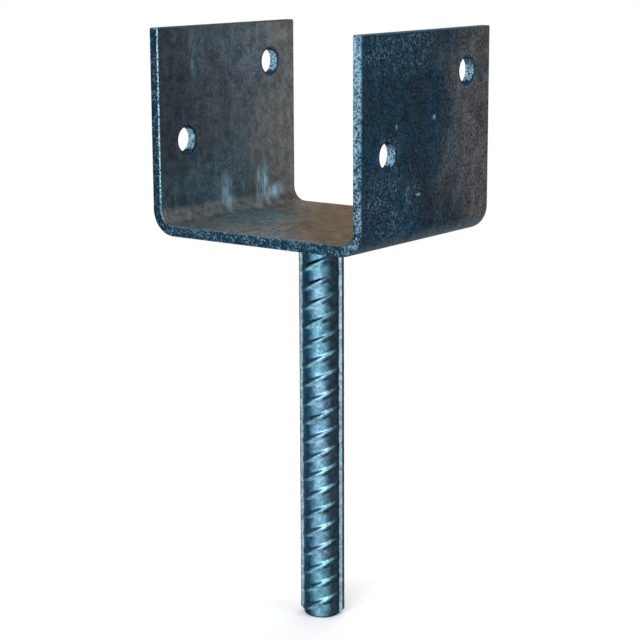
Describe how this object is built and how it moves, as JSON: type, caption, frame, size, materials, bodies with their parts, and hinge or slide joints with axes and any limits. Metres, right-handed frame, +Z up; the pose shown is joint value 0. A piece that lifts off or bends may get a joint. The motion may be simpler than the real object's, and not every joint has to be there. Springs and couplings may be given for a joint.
{
  "type": "timber post base",
  "caption": "Folded U bracket with bolt holes on a ribbed anchor bar: holds the foot of a timber post above the concrete that the bar is cast into.",
  "frame": {"origin": "middle of the seat, the top face of the web that the post stands on", "axes": "+Z up along the post, out of the seat; +X from one flange to the other, along the bolts; +Y from the front edges, near the lower holes, to the back edges, near the upper holes"},
  "size_m": [0.11, 0.094, 0.262],
  "materials": {
    "galvanised_plate": "hot-dip galvanised, dull blue-grey",
    "galvanised_bar": "hot-dip galvanised, blue-grey",
    "galvanised_weld": "hot-dip galvanised over weld metal"
  },
  "bodies": {
    "root": {"u_bracket": "galvanised_plate", "anchor_bar": "galvanised_bar", "weld_bead": "galvanised_weld"}
  },
  "joints": []
}
